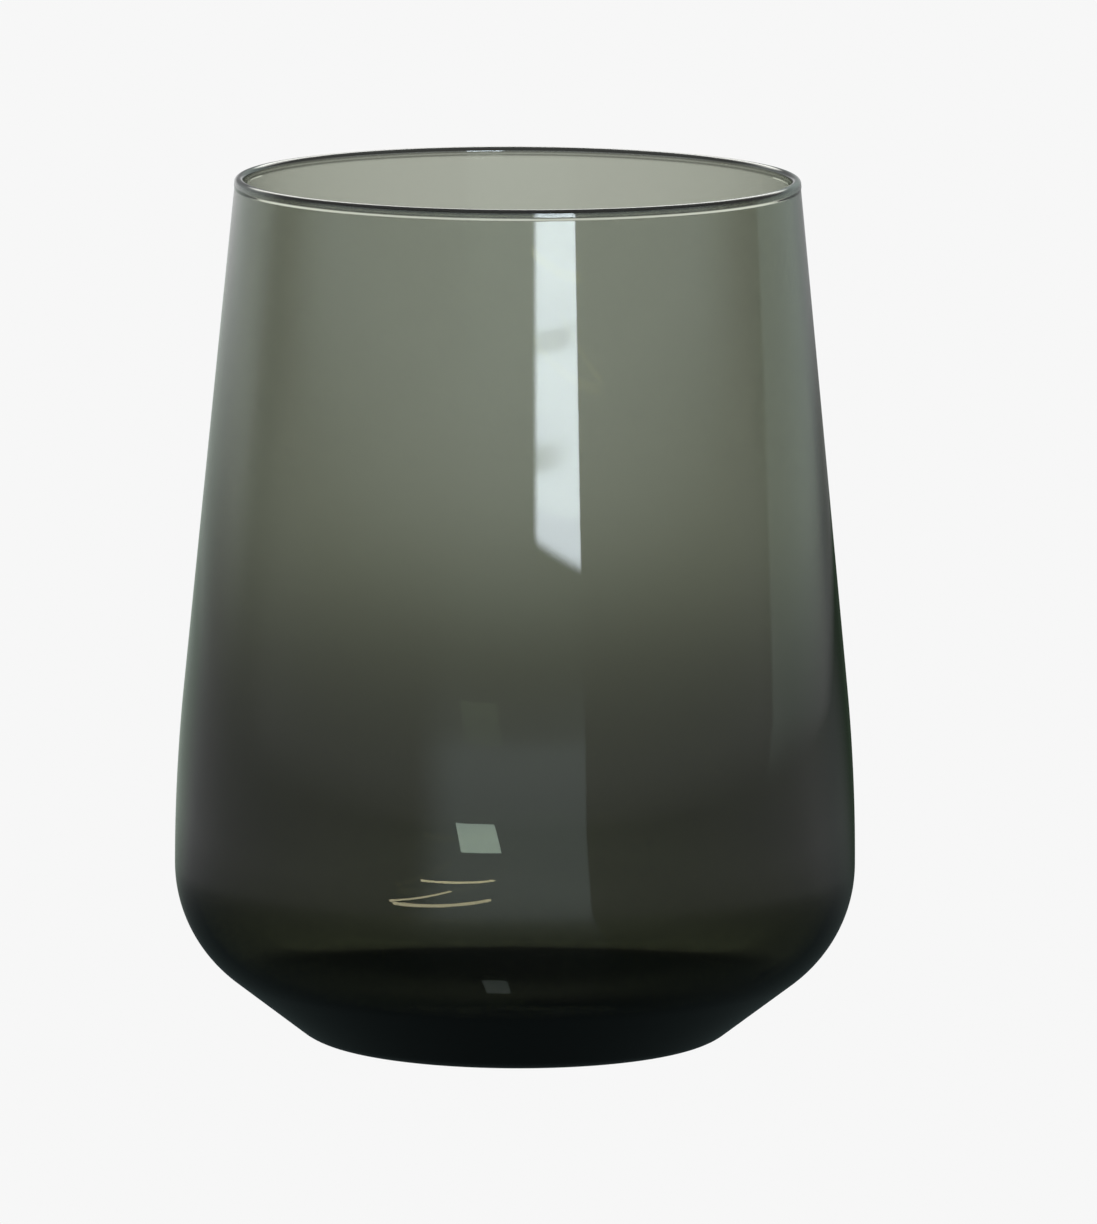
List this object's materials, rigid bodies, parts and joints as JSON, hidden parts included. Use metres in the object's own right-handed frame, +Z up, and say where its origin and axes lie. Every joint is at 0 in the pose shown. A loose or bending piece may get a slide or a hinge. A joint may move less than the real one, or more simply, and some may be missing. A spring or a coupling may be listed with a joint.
{
  "type": "tumbler",
  "caption": "Stemless smoked-glass tumbler: wide low belly, straight wall narrowing to a fine beaded lip, sloping underside and a small ring to rest on.",
  "frame": {"origin": "centre of the resting ring, in the plane that the tumbler stands on", "axes": "+Z up along the tumbler's axis of revolution, towards the open mouth; +X and +Y are equal, because the tumbler is turned"},
  "size_m": [0.0826, 0.0826, 0.105],
  "materials": {
    "smoked_glass": "body-tinted smoke-grey soda-lime glass, fire-polished all over, near black where it is thick"
  },
  "bodies": {
    "root": {"glass_body": "smoked_glass"}
  },
  "joints": []
}
